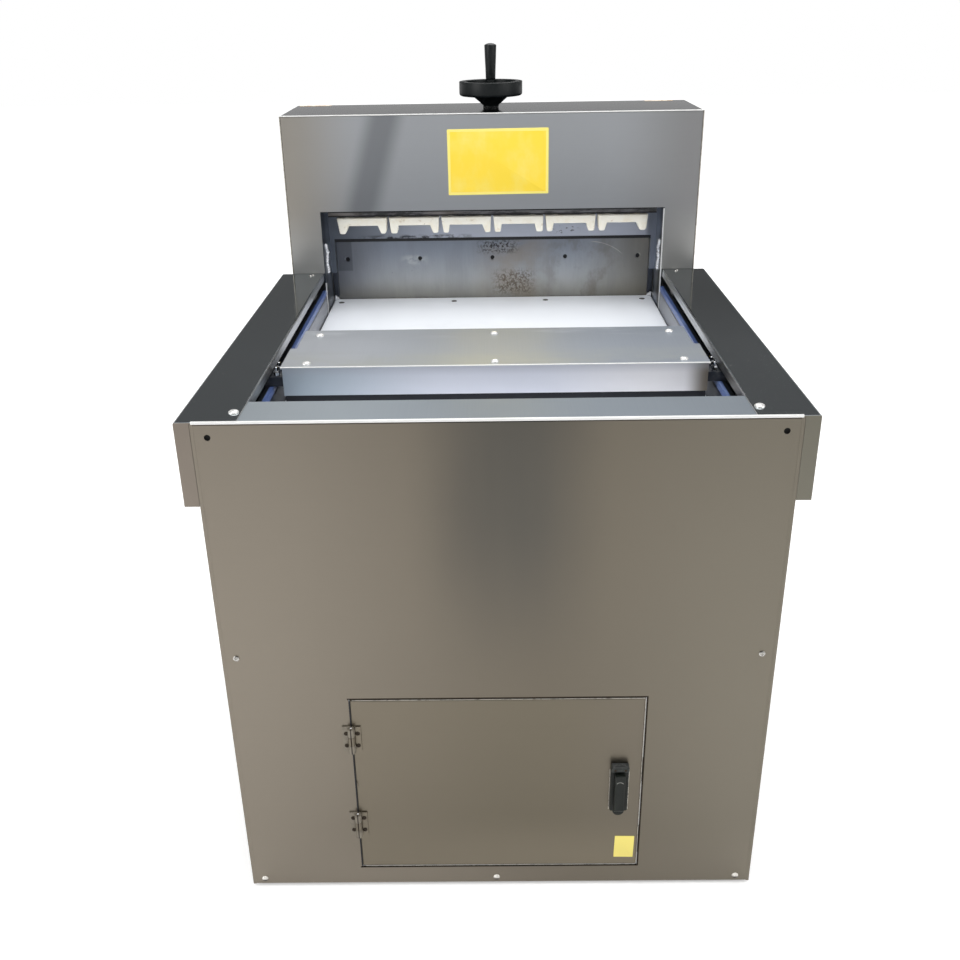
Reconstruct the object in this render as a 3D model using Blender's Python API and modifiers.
"""Industrial food slicer: a six-roll frozen meat slicer with a guillotine blade.

The rolls lie in a trough on a white board. A pusher, driven by two screws beside the trough,
feeds them through the window of a portal, where six floating feet hold them down and a blade
on a crank drive cuts them. Sizes are in metres. Every place is measured from the middle of the
front panel's lower edge: +X to the right, +Y away from the feed side, +Z up. The empty named
machine then moves the whole onto the middle of its own outline.
"""
import math

import bmesh
import bpy
from mathutils import Matrix, Vector

# Fits and stock
CLEAR = 0.0003
RUNNING = 0.0005
SHEET = 0.002
TROUGH_SHEET = 0.003
TUBE = 0.030
WELD_STEP = 0.001
BEND = 0.0025
PANEL_RETURN = 0.025

# Rolls and trough
ROLL_COUNT = 6
ROLL_PITCH = 0.105
TROUGH_SIDE_ALLOWANCE = 0.024
BOARD_DEPTH = 0.080
BOARD_THICKNESS = 0.0147
BOARD_SIDE_GAP = 0.0015
BOARD_ROUNDING = 0.003
TROUGH_WALL_HEIGHT = 0.050
TROUGH_FLANGE = 0.016
STRIP_HEIGHT = 0.0097
STRIP_WIDTH = 0.0125
STRIP_START = 0.105

# Body
TABLE_HEIGHT = 0.820
APRON_DEPTH = 0.078
TROUGH_LENGTH = 0.7366
DRIVE_CHANNEL = 0.061
COVER_OVERHANG = 0.0235
COVER_SKIRT = 0.1235
COVER_LIP = 0.016
FLOOR_GAP = 0.006
SIDE_FLANGE = 0.018

# Portal
PORTAL_DEPTH = 0.2104
PORTAL_HEADROOM = 0.1383
HEAD_BEAM_HEIGHT = 0.0607
PORTAL_OVERHANG = 0.0015
WINDOW_HEIGHT = 0.1225
WINDOW_RETURN = 0.018
JAMB_END = 0.0881
JAMB_SHEET = 0.003
OUTFEED_BELOW_TABLE = 0.160
OUTFEED_INSET = 0.010

# Blade and its drive
BLADE_DISTANCE = 0.1054
BLADE_THICKNESS = 0.006
BLADE_HEIGHT = 0.165
BLADE_DIP = 0.005
BLADE_SIDE_GAP = 0.011
BLADE_EDGE = 0.014
BLADE_HOLE_COUNT = 5
BLADE_HOLE_PITCH = 0.153
BLADE_HOLE_RADIUS = 0.006
BLADE_HOLE_HEIGHT = 0.0845
GUIDE_PLATE_THICKNESS = 0.012
GUIDE_PLATE_OPENING = 0.128
GUIDE_PLATE_TOP = 0.275
GUIDE_LEG_BOTTOM = 0.060
GUIDE_DEPTH = 0.0285
GUIDE_BOTTOM = 0.006
GUIDE_TOP = 0.305
CARRIER_THICKNESS = 0.0177
CARRIER_HEIGHT = 0.100
TONGUE_REACH = 0.0055
TONGUE_THICKNESS = 0.012
YOKE_DEPTH = 0.031
YOKE_HEIGHT = 0.035
CRANK_DISTANCE = 0.1204
CRANK_RADIUS = 0.0575
CRANK_HEIGHT = 0.350
CRANK_SHAFT_RADIUS = 0.015
CRANK_WEB = 0.012
CRANK_RIM = 0.020
CRANK_FLOOR_GAP = 0.005
PIN_RADIUS = 0.012
ROD_THICKNESS = 0.012
ROD_WIDTH = 0.028
ROD_EYE = 0.020
ROD_OFFSET = 0.019

# Press beam, feet and handwheel
FOOT_WIDTH = 0.1005
FOOT_DEPTH = 0.030
FOOT_DISTANCE = 0.0454
FOOT_TOP = 0.184
FOOT_BAR = 0.016
FOOT_LEG = 0.016
FOOT_LEG_TOP = 0.0185
FOOT_LEG_TIP = 0.0095
FOOT_POST_RADIUS = 0.007
FOOT_POST_LENGTH = 0.031
FOOT_POST_SPREAD = 0.030
BEAM_LIFT = 0.021
BEAM_HEIGHT = 0.030
PRESS_TRAVEL = 0.060
PRESS_ARM_HALF = 0.045
PRESS_ARM_THICKNESS = 0.012
PRESS_NUT_RADIUS = 0.016
PRESS_NUT_HEIGHT = 0.012
PRESS_SCREW_RADIUS = 0.008
PRESS_SCREW_LENGTH = 0.100
HANDWHEEL_SETBACK = 0.1154
WHEEL_RADIUS = 0.0625
WHEEL_RIM_WIDTH = 0.014
WHEEL_RIM_TOP = 0.0485
WHEEL_RIM_HEIGHT = 0.0268
WHEEL_RIM_ROUND = 0.005
WHEEL_EDGE = 0.0012
DISH_RADIUS = 0.037
DISH_THICKNESS = 0.006
HUB_RADIUS = 0.0155
HUB_HEIGHT = 0.026
HUB_FOOT = 0.0024
GRIP_RADIUS = 0.012
GRIP_FOOT_RADIUS = 0.0098
GRIP_CAP = 0.0025
GRIP_LENGTH = 0.067

# Pusher and feed drive
PUSHER_FRONT = 0.228
PUSHER_LENGTH = 0.192
PUSHER_NOTCH = 0.094
PUSHER_SIDE_GAP = 0.0135
PUSHER_NOTCH_INSET = 0.0095
PUSHER_BELOW_TABLE = 0.002
PUSHER_SHEET = 0.003
PUSHER_SKIRT = 0.0455
PUSHER_FACE_THICKNESS = 0.018
PUSHER_FACE_GAP = 0.002
PUSHER_SKIRT_INSET = 0.0025
PUSHER_SCREW_INSET = 0.028
PUSHER_SCREW_FRONT = 0.016
PUSHER_SCREW_BACK = 0.030
ARM_THICKNESS = 0.015
ARM_SETBACK = 0.007
ARM_LENGTH = 0.040
NUT_HEIGHT = 0.116
NUT_HALF = 0.019
SCREW_INSET = 0.024
SCREW_BELOW_TABLE = 0.058
SCREW_RADIUS = 0.010
SCREW_SETBACK = 0.0066
RAIL_DROP = 0.062
RAIL_RADIUS = 0.008
SPROCKET_RADIUS = 0.0175
SPROCKET_WIDTH = 0.008
CHAIN_THICKNESS = 0.004
CHAIN_PLANE = 0.068
BEARING_LENGTH = 0.022
FRONT_BEARING_GAP = 0.0035
REAR_BEARING_SETBACK = 0.0346
FEED_MOTOR_HALF = 0.0295
FEED_MOTOR_LENGTH = 0.140

# Door, hinges and lock
DOOR_LEFT = -0.2238
DOOR_RIGHT = 0.2197
DOOR_BOTTOM = 0.0434
DOOR_TOP = 0.3715
DOOR_GAP = 0.0012
DOOR_RETURN = 0.008
HINGE_RADIUS = 0.0055
HINGE_HEIGHT = 0.0455
HINGE_LEAF = 0.014
HINGE_LEAF_THICKNESS = 0.002
HINGE_PIN_RADIUS = 0.002
HINGE_LOW = 0.112
HINGE_HIGH = 0.279
LOCK_LEFT = 0.1715
LOCK_WIDTH = 0.0275
LOCK_BOTTOM = 0.1625
LOCK_HEIGHT = 0.0793
LOCK_THICKNESS = 0.0077
LOCK_NOSE_RADIUS = 0.0091
LOCK_CAP_HEIGHT = 0.009
SPINDLE_RADIUS = 0.006
SPINDLE_RISE = 0.0095
LEVER_THICKNESS = 0.010
LEVER_WIDTH = 0.016
LEVER_LENGTH = 0.066
CAM_LENGTH = 0.046
CAM_THICKNESS = 0.003

# Frame, feet, rear and electrics
FRAME_SIDE_GAP = 0.0025
FRAME_FRONT = 0.030
FRAME_REAR_GAP = 0.030
FRAME_BOTTOM = 0.040
PAD_RADIUS = 0.017
PAD_HEIGHT = 0.012
STEM_RADIUS = 0.007
BEARER_STUB = 0.305
CHUTE_START = 0.020
CHUTE_REACH = 0.060
CHUTE_DROP = 0.020
CHUTE_RISE = 0.050
PLATE_SETBACK = 0.200
BUTTON_RADIUS = 0.011
BUTTON_HEIGHT = 0.008
BUTTON_TRAVEL = 0.003
BUTTON_STEM = 0.007
BUTTON_PITCH = 0.050
BUTTON_INSET = 0.031
MUSHROOM_RADIUS = 0.019

# Places that follow from the sizes above
TROUGH_HALF = ROLL_COUNT * ROLL_PITCH / 2 + TROUGH_SIDE_ALLOWANCE
TROUGH_OUTER = TROUGH_HALF + TROUGH_SHEET
BODY_HALF = TROUGH_OUTER + DRIVE_CHANNEL
COVER_HALF = BODY_HALF + COVER_OVERHANG
BOARD_TOP = TABLE_HEIGHT - BOARD_DEPTH
TROUGH_FLOOR = BOARD_TOP - BOARD_THICKNESS - CLEAR
WALL_TOP = TROUGH_FLOOR + TROUGH_WALL_HEIGHT
STRIP_TOP = WALL_TOP + CLEAR + STRIP_HEIGHT
DECK_UNDERSIDE = TABLE_HEIGHT - SHEET
PANEL_TOP = DECK_UNDERSIDE - CLEAR
PORTAL_FRONT = APRON_DEPTH + TROUGH_LENGTH
PORTAL_REAR = PORTAL_FRONT + PORTAL_DEPTH
OUTFEED_SILL = TABLE_HEIGHT - OUTFEED_BELOW_TABLE
FRAME_TOP = OUTFEED_SILL - CLEAR
FRONT_BEARING = APRON_DEPTH + FRONT_BEARING_GAP
REAR_BEARING = PORTAL_FRONT - REAR_BEARING_SETBACK
SCREW_END = PORTAL_FRONT - SCREW_SETBACK
PORTAL_HALF = BODY_HALF + PORTAL_OVERHANG
PORTAL_TOP = TABLE_HEIGHT + BLADE_HEIGHT + PORTAL_HEADROOM
PORTAL_CEILING = PORTAL_TOP - SHEET
COVER_PLATE_HALF = PORTAL_HALF - SHEET - RUNNING
WINDOW_TOP = TABLE_HEIGHT + WINDOW_HEIGHT
WINDOW_HALF = TROUGH_HALF + WELD_STEP
OUTFEED_HALF = WINDOW_HALF - OUTFEED_INSET
JAMB_FRONT = PORTAL_FRONT + SHEET + CLEAR
JAMB_BACK = PORTAL_FRONT + JAMB_END
BLADE_FRONT = PORTAL_FRONT + BLADE_DISTANCE
BLADE_BACK = BLADE_FRONT + BLADE_THICKNESS
BLADE_HALF = TROUGH_HALF - BLADE_SIDE_GAP
BLADE_BOTTOM = BOARD_TOP - BLADE_DIP
BLADE_TOP = BLADE_BOTTOM + BLADE_HEIGHT
BLADE_STROKE = 2 * CRANK_RADIUS
CARRIER_FRONT = BLADE_BACK + CLEAR
CARRIER_BACK = CARRIER_FRONT + CARRIER_THICKNESS
CARRIER_TOP = BLADE_TOP
YOKE_MIDDLE = CARRIER_TOP - YOKE_HEIGHT / 2
ROD_X = TROUGH_HALF + ROD_OFFSET
YOKE_HALF = ROD_X - ROD_THICKNESS / 2 - RUNNING
CRANK_Y = PORTAL_FRONT + CRANK_DISTANCE
FOOT_Y = PORTAL_FRONT + FOOT_DISTANCE
FOOT_CROWN = BOARD_TOP + FOOT_TOP
BEAM_BOTTOM = FOOT_CROWN + BEAM_LIFT
BEAM_TOP = BEAM_BOTTOM + BEAM_HEIGHT
WHEEL_Y = PORTAL_FRONT + HANDWHEEL_SETBACK
PRESS_ARM_BOTTOM = CARRIER_TOP + BLADE_STROKE + PRESS_TRAVEL + 0.010
PRESS_ARM_TOP = PRESS_ARM_BOTTOM + PRESS_ARM_THICKNESS
SCREW_X = BODY_HALF - SCREW_INSET
SCREW_Z = TABLE_HEIGHT - SCREW_BELOW_TABLE
RAIL_Z = SCREW_Z - RAIL_DROP
PUSHER_HALF = TROUGH_HALF - PUSHER_SIDE_GAP
PUSHER_TOP = TABLE_HEIGHT - PUSHER_BELOW_TABLE
PUSHER_BACK = PUSHER_FRONT + PUSHER_LENGTH
ARM_FRONT = PUSHER_FRONT + ARM_SETBACK
ARM_BACK = ARM_FRONT + ARM_LENGTH
ARM_BOTTOM = STRIP_TOP + CLEAR
ARM_TOP = ARM_BOTTOM + ARM_THICKNESS
FRAME_HALF = BODY_HALF - FRAME_SIDE_GAP
FRAME_INNER = FRAME_HALF - TUBE
POST_X = FRAME_HALF - TUBE / 2
FRAME_BACK = PORTAL_REAR - FRAME_REAR_GAP
FRONT_POST_Y = FRAME_FRONT + TUBE / 2
BACK_POST_Y = FRAME_BACK - TUBE / 2
HINGE_X = DOOR_LEFT + 0.0003
HINGE_Y = -CLEAR - HINGE_RADIUS
LOCK_X = LOCK_LEFT + LOCK_WIDTH / 2
LOCK_FRONT = -CLEAR - LOCK_THICKNESS
LEVER_Y = LOCK_FRONT - RUNNING - LEVER_THICKNESS / 2
SPINDLE_Z = LOCK_BOTTOM + SPINDLE_RISE
FRONT_REACH = LEVER_Y - LEVER_THICKNESS / 2
REAR_REACH = PORTAL_REAR + CHUTE_REACH

# Colour, roughness and metallic value of each finish
FINISHES = {
    "brushed_steel": ((0.42, 0.40, 0.37), 0.38, 1.0),
    "dark_steel": ((0.16, 0.17, 0.18), 0.16, 1.0),
    "zinc_steel": ((0.60, 0.62, 0.64), 0.35, 1.0),
    "frame_paint": ((0.30, 0.32, 0.34), 0.50, 0.0),
    "blade_steel": ((0.34, 0.34, 0.35), 0.30, 1.0),
    "white_board": ((0.86, 0.88, 0.92), 0.45, 0.0),
    "blue_plastic": ((0.06, 0.12, 0.42), 0.40, 0.0),
    "ivory_plastic": ((0.85, 0.78, 0.66), 0.45, 0.0),
    "black_plastic": ((0.02, 0.022, 0.024), 0.35, 0.0),
    "grey_plastic": ((0.35, 0.36, 0.36), 0.45, 0.0),
    "motor_paint": ((0.10, 0.16, 0.22), 0.45, 0.0),
    "green_plastic": ((0.03, 0.35, 0.10), 0.40, 0.0),
    "red_plastic": ((0.55, 0.03, 0.02), 0.40, 0.0),
}

# Turning the drawing plane of a flat outline into the plane of the plate
PLANES = {
    "XY": Matrix.Identity(3),
    "XZ": Matrix(((1, 0, 0), (0, 0, -1), (0, 1, 0))),
    "YZ": Matrix(((0, 0, 1), (1, 0, 0), (0, 1, 0))),
}
AXES = {
    "X": Matrix(((0, 0, 1), (0, 1, 0), (-1, 0, 0))),
    "Y": Matrix(((1, 0, 0), (0, 0, 1), (0, -1, 0))),
    "Z": Matrix.Identity(3),
}

for leftover in list(bpy.data.objects):
    bpy.data.objects.remove(leftover, do_unlink=True)


def new_collection(name):
    """A collection of that name under the scene's own."""
    collection = bpy.data.collections.new(name)
    bpy.context.scene.collection.children.link(collection)
    return collection


PARTS = new_collection("industrial_food_slicer")
CUTTERS = new_collection("cutters")


def new_empty(name, place, parent):
    """An empty that carries what moves or stands together."""
    empty = bpy.data.objects.new(name, None)
    empty.location = place
    empty.parent = parent
    PARTS.objects.link(empty)
    return empty


machine = new_empty("machine", (0, -(FRONT_REACH + REAR_REACH) / 2, 0), None)


def place(piece, at, turn=None, carrier=None):
    """Put a piece at a place given in the machine's own frame, on its carrier."""
    holder = carrier or machine
    offset = Vector((0, 0, 0))
    step = holder
    while step is not None and step is not machine:
        offset += step.location
        step = step.parent
    piece.parent = holder
    piece.location = Vector(at) - offset
    if turn is not None:
        piece.rotation_euler = turn.to_euler()
    return piece


def finish(piece, kind):
    """Give the piece a material of its own in one of the finishes."""
    colour, roughness, metallic = FINISHES[kind]
    material = bpy.data.materials.new(piece.name + "_" + kind)
    material.use_nodes = True
    shader = material.node_tree.nodes["Principled BSDF"]
    shader.inputs["Base Color"].default_value = (*colour, 1.0)
    shader.inputs["Roughness"].default_value = roughness
    shader.inputs["Metallic"].default_value = metallic
    piece.data.materials.clear()
    piece.data.materials.append(material)
    return piece


def add_mesh(name, build):
    """A new object whose mesh the given function fills."""
    mesh = bpy.data.meshes.new(name)
    shape = bmesh.new()
    build(shape)
    shape.to_mesh(mesh)
    shape.free()
    piece = bpy.data.objects.new(name, mesh)
    PARTS.objects.link(piece)
    return piece


def middle(span):
    return (span[0] + span[1]) / 2


def block(name, x, y, z, carrier=None, open_sides=()):
    """A box between three pairs of limits; open_sides names faces left out, such as +Y."""
    size = Vector((x[1] - x[0], y[1] - y[0], z[1] - z[0]))

    def build(shape):
        bmesh.ops.create_cube(shape, size=1.0)
        bmesh.ops.scale(shape, vec=size, verts=shape.verts)
        shape.normal_update()
        gone = []
        for face in shape.faces:
            for side in open_sides:
                sign = 1 if side[0] == "+" else -1
                if face.normal["XYZ".index(side[1])] * sign > 0.5:
                    gone.append(face)
        bmesh.ops.delete(shape, geom=gone, context="FACES")

    return place(add_mesh(name, build), (middle(x), middle(y), middle(z)), None, carrier)


def rod(name, at, radius, length, axis="Z", sides=20, carrier=None, end_radius=None):
    """A round bar, or a cone, about its middle along an axis."""
    other = radius if end_radius is None else end_radius

    def build(shape):
        bmesh.ops.create_cone(shape, cap_ends=True, segments=sides, radius1=radius, radius2=other,
                              depth=length)

    return smooth(place(add_mesh(name, build), at, AXES[axis], carrier))


def smooth(piece, angle=35.0):
    piece.data.shade_smooth()
    piece.data.set_sharp_from_angle(angle=math.radians(angle))
    return piece


def turned(name, profile, at, axis="Z", steps=24, carrier=None, closed=False):
    """A turned shape; the profile (radius, height) runs down its outer side, top to bottom."""
    def build(shape):
        points = [shape.verts.new((radius, 0, height)) for radius, height in profile]
        for first, second in zip(points, points[1:]):
            shape.edges.new((first, second))
        if closed:
            shape.edges.new((points[-1], points[0]))

    piece = place(add_mesh(name, build), at, AXES[axis], carrier)
    turn = piece.modifiers.new("turning", "SCREW")
    turn.steps = steps
    turn.render_steps = steps
    turn.use_merge_vertices = True
    turn.merge_threshold = 0.0001
    return piece


def bend(piece, radius=BEND, segments=2, limit=20):
    """Round the folds or edges of a piece that turn by more than a limit in degrees."""
    rounding = piece.modifiers.new("rounding", "BEVEL")
    rounding.width = radius
    rounding.segments = segments
    rounding.limit_method = "ANGLE"
    rounding.angle_limit = math.radians(limit)
    return piece


def thicken(piece, thickness, side=-1):
    """Give an open surface its sheet thickness, inwards by default."""
    wall = piece.modifiers.new("sheet", "SOLIDIFY")
    wall.thickness = thickness
    wall.offset = side
    wall.use_even_offset = True
    return piece


def fold(name, section, plane, along, carrier=None, thickness=SHEET, side=-1, radius=BEND):
    """A folded sheet: an open section drawn in a plane and drawn out along its normal.

    Its thickness lies to the left of the section's direction with side -1, to the right with 1.
    """
    ends = sorted(-value if plane == "XZ" else value for value in along)

    def build(shape):
        start = [shape.verts.new((u, v, ends[0])) for u, v in section]
        stop = [shape.verts.new((u, v, ends[1])) for u, v in section]
        for index in range(len(section) - 1):
            shape.faces.new((start[index], start[index + 1], stop[index + 1], stop[index]))

    piece = place(add_mesh(name, build), (0, 0, 0), PLANES[plane], carrier)
    return thicken(bend(piece, radius), thickness, side)


def plate(name, outlines, plane, span, carrier=None):
    """A flat plate: the first outline is its edge, the others are its holes."""
    curve = bpy.data.curves.new(name, "CURVE")
    curve.dimensions = "2D"
    curve.fill_mode = "BOTH"
    curve.extrude = (span[1] - span[0]) / 2
    for outline in outlines:
        spline = curve.splines.new("POLY")
        spline.points.add(len(outline) - 1)
        for point, (u, v) in zip(spline.points, outline):
            point.co = (u, v, 0, 1)
        spline.use_cyclic_u = True
    drawing = bpy.data.objects.new(name + "_drawing", curve)
    PARTS.objects.link(drawing)
    mesh = bpy.data.meshes.new_from_object(drawing.evaluated_get(bpy.context.evaluated_depsgraph_get()))
    bpy.data.objects.remove(drawing, do_unlink=True)
    shape = bmesh.new()
    shape.from_mesh(mesh)
    bmesh.ops.remove_doubles(shape, verts=shape.verts, dist=0.00001)
    if len(outlines) == 1:
        bmesh.ops.dissolve_limit(shape, angle_limit=0.01, verts=shape.verts, edges=shape.edges)
    bmesh.ops.recalc_face_normals(shape, faces=shape.faces)
    shape.to_mesh(mesh)
    shape.free()
    piece = bpy.data.objects.new(name, mesh)
    PARTS.objects.link(piece)
    centre = [0, 0, 0]
    centre[{"XY": 2, "XZ": 1, "YZ": 0}[plane]] = middle(span)
    return place(piece, centre, PLANES[plane], carrier)


def rectangle(u, v):
    return [(u[0], v[0]), (u[1], v[0]), (u[1], v[1]), (u[0], v[1])]


def arc(centre, radius, start, stop, steps):
    """Points of an arc between two angles in degrees, both ends included."""
    points = []
    for step in range(steps + 1):
        angle = math.radians(start + (stop - start) * step / steps)
        points.append((centre[0] + radius * math.cos(angle), centre[1] + radius * math.sin(angle)))
    return points


def circle(centre, radius, steps=16):
    return arc(centre, radius, 0, 360 * (steps - 1) / steps, steps - 1)


def as_tool(piece):
    """Keep a shape as a hidden tool for cutting or joining."""
    for collection in list(piece.users_collection):
        collection.objects.unlink(piece)
    CUTTERS.objects.link(piece)
    piece.hide_render = True
    piece.display_type = "WIRE"
    return piece


def cut(piece, *tools):
    for tool in tools:
        step = piece.modifiers.new("cut", "BOOLEAN")
        step.operation = "DIFFERENCE"
        step.solver = "EXACT"
        step.object = as_tool(tool)
    return piece


def fuse(piece, *tools):
    for tool in tools:
        step = piece.modifiers.new("weld", "BOOLEAN")
        step.operation = "UNION"
        step.solver = "EXACT"
        step.object = as_tool(tool)
    return piece


# Welded tube frame with its four posts, rails and the cross rails that carry the drives
BEARER_YS = (FRONT_BEARING + FEED_MOTOR_LENGTH / 2 + TUBE, REAR_BEARING - TUBE)
frame_pieces = []
for side in (-1, 1):
    x = (side * FRAME_INNER, side * FRAME_HALF) if side > 0 else (-FRAME_HALF, -FRAME_INNER)
    for y in ((FRAME_FRONT, FRAME_FRONT + TUBE), (FRAME_BACK - TUBE, FRAME_BACK)):
        frame_pieces.append(block("post", x, y, (FRAME_BOTTOM, FRAME_TOP)))
    for low in (FRAME_BOTTOM, FRAME_TOP - TUBE):
        frame_pieces.append(block("rail", x, (FRAME_FRONT, FRAME_BACK), (low, low + TUBE)))
cross = (-FRAME_INNER - TUBE / 2, FRAME_INNER + TUBE / 2)
for y in (FRAME_FRONT, FRAME_BACK - TUBE):
    for low in (FRAME_BOTTOM, FRAME_TOP - TUBE):
        frame_pieces.append(block("cross_rail", cross, (y, y + TUBE), (low, low + TUBE)))
for y in BEARER_YS:
    frame_pieces.append(block("bearer", cross, (y, y + TUBE), (FRAME_TOP - TUBE, FRAME_TOP)))
    for side in (-1, 1):
        stub = (side * BEARER_STUB - TUBE / 2, side * BEARER_STUB + TUBE / 2)
        frame_pieces.append(block("stub", stub, (y, y + TUBE),
                                  (FRAME_TOP - TUBE, TROUGH_FLOOR - TROUGH_SHEET - CLEAR)))
frame_pieces.append(block("plate_rail", cross, (PLATE_SETBACK, PLATE_SETBACK + TUBE),
                          (FRAME_BOTTOM, FRAME_BOTTOM + TUBE)))
CRANK_RAIL_TOP = CRANK_HEIGHT - CRANK_RADIUS - CRANK_RIM - CRANK_FLOOR_GAP
crank_rail = (CRANK_Y - TUBE / 2, CRANK_Y + TUBE / 2)
frame_pieces.append(block("crank_rail", cross, crank_rail, (CRANK_RAIL_TOP - TUBE, CRANK_RAIL_TOP)))
for side in (-1, 1):
    x = sorted((side * FRAME_INNER, side * FRAME_HALF))
    inner = (min(x) + WELD_STEP, max(x) - WELD_STEP)
    frame_pieces.append(block("crank_post", inner, (crank_rail[0] - WELD_STEP, crank_rail[1] + WELD_STEP),
                              (FRAME_BOTTOM + WELD_STEP, CRANK_RAIL_TOP + WELD_STEP)))

# Crank bearings: two pillow blocks welded on the crank rail
BEARING_X = 0.290
BEARING_WIDTH = 0.030
BEARING_FOOT = 0.035
BEARING_FOOT_HEIGHT = 0.012
BEARING_WALL = 0.015
foot_top = CRANK_RAIL_TOP + BEARING_FOOT_HEIGHT
bearing_outline = [(CRANK_Y - BEARING_FOOT, foot_top - 2 * BEARING_FOOT_HEIGHT),
                   (CRANK_Y + BEARING_FOOT, foot_top - 2 * BEARING_FOOT_HEIGHT),
                   (CRANK_Y + BEARING_FOOT, foot_top)]
bearing_outline += arc((CRANK_Y, CRANK_HEIGHT), CRANK_SHAFT_RADIUS + BEARING_WALL, 0, 180, 12)
bearing_outline += [(CRANK_Y - BEARING_FOOT, foot_top)]
bearing_bore = circle((CRANK_Y, CRANK_HEIGHT), CRANK_SHAFT_RADIUS + CLEAR, 24)
for x in (-BEARING_X, BEARING_X):
    frame_pieces.append(plate("bearing", [bearing_outline, bearing_bore], "YZ",
                              (x - BEARING_WIDTH / 2, x + BEARING_WIDTH / 2)))

# Levelling feet: a pad and a stem screwed into each post
for x in (-POST_X, POST_X):
    for y in (FRONT_POST_Y, BACK_POST_Y):
        outline = [(0, FRAME_BOTTOM + STEM_RADIUS), (STEM_RADIUS, FRAME_BOTTOM + STEM_RADIUS),
                   (STEM_RADIUS, PAD_HEIGHT + 0.004), (PAD_RADIUS - 0.003, PAD_HEIGHT),
                   (PAD_RADIUS, PAD_HEIGHT - 0.003), (PAD_RADIUS, 0), (0, 0)]
        frame_pieces.append(turned("foot", outline, (x, y, 0), steps=16))
base_frame = finish(fuse(frame_pieces[0], *frame_pieces[1:]), "frame_paint")
base_frame.name = "base_frame"

# Front panel: one folded sheet with the door opening and two round holes at its top corners
PANEL_HOLE_X = BODY_HALF - 0.020
PANEL_HOLE_Z = TABLE_HEIGHT - 0.022
PANEL_HOLE_RADIUS = 0.0045
front_panel = block("front_panel", (-BODY_HALF, BODY_HALF), (0, PANEL_RETURN),
                    (FLOOR_GAP, PANEL_TOP), open_sides=("+Y",))
thicken(bend(front_panel), SHEET)
cut(front_panel, block("door_opening", (DOOR_LEFT - DOOR_GAP, DOOR_RIGHT + DOOR_GAP),
                       (-SHEET, 2 * SHEET), (DOOR_BOTTOM - DOOR_GAP, DOOR_TOP + DOOR_GAP)))
for x in (-PANEL_HOLE_X, PANEL_HOLE_X):
    cut(front_panel, rod("panel_hole", (x, SHEET / 2, PANEL_HOLE_Z), PANEL_HOLE_RADIUS,
                         4 * SHEET, "Y", 12))
finish(front_panel, "brushed_steel")

# Side panels: a web that wraps the front and rear panels, with a flange under the covers
PANEL_SIDE = BODY_HALF + CLEAR
for side, hand in (("left", -1), ("right", 1)):
    web = sorted((hand * PANEL_SIDE, hand * (PANEL_SIDE + SHEET)))
    flange = sorted((hand * (PANEL_SIDE - SIDE_FLANGE), hand * (PANEL_SIDE + SHEET)))
    panel = block(side + "_side_panel", web, (CLEAR, PORTAL_REAR), (FLOOR_GAP, PANEL_TOP))
    fuse(panel, block("flange", flange, (PANEL_RETURN + CLEAR, PORTAL_FRONT + SHEET),
                      (PANEL_TOP - SHEET, PANEL_TOP)))
    finish(panel, "brushed_steel")

# Rear panel: a folded sheet below the outfeed, with two rows of slots for the drive's air
SLOT_COLUMNS = 6
SLOT_ROWS = 2
SLOT_PITCH = 0.050
SLOT_WIDTH = 0.008
SLOT_HEIGHT = 0.060
rear_panel = block("rear_panel", (-BODY_HALF, BODY_HALF), (PORTAL_REAR - PANEL_RETURN, PORTAL_REAR),
                   (FLOOR_GAP, OUTFEED_SILL), open_sides=("-Y",))
thicken(bend(rear_panel), SHEET)
for row in range(SLOT_ROWS):
    for column in range(SLOT_COLUMNS):
        x = (column - (SLOT_COLUMNS - 1) / 2) * SLOT_PITCH
        z = CRANK_HEIGHT + (row - (SLOT_ROWS - 1) / 2) * (SLOT_HEIGHT + SLOT_WIDTH)
        cut(rear_panel, block("air_slot", (x - SLOT_WIDTH / 2, x + SLOT_WIDTH / 2),
                              (PORTAL_REAR - 2 * SHEET, PORTAL_REAR + SHEET),
                              (z - SLOT_HEIGHT / 2, z + SLOT_HEIGHT / 2)))
finish(rear_panel, "brushed_steel")

# Front deck plate: the apron in front of the trough, folded down at its rear edge
COVER_INNER = TROUGH_OUTER + CLEAR
APRON_HALF = COVER_INNER - CLEAR
apron_section = [(APRON_DEPTH, TROUGH_FLOOR - TROUGH_SHEET), (APRON_DEPTH, TABLE_HEIGHT),
                 (0, TABLE_HEIGHT)]
finish(fold("front_deck_plate", apron_section, "YZ", (-APRON_HALF, APRON_HALF)), "zinc_steel")

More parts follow.
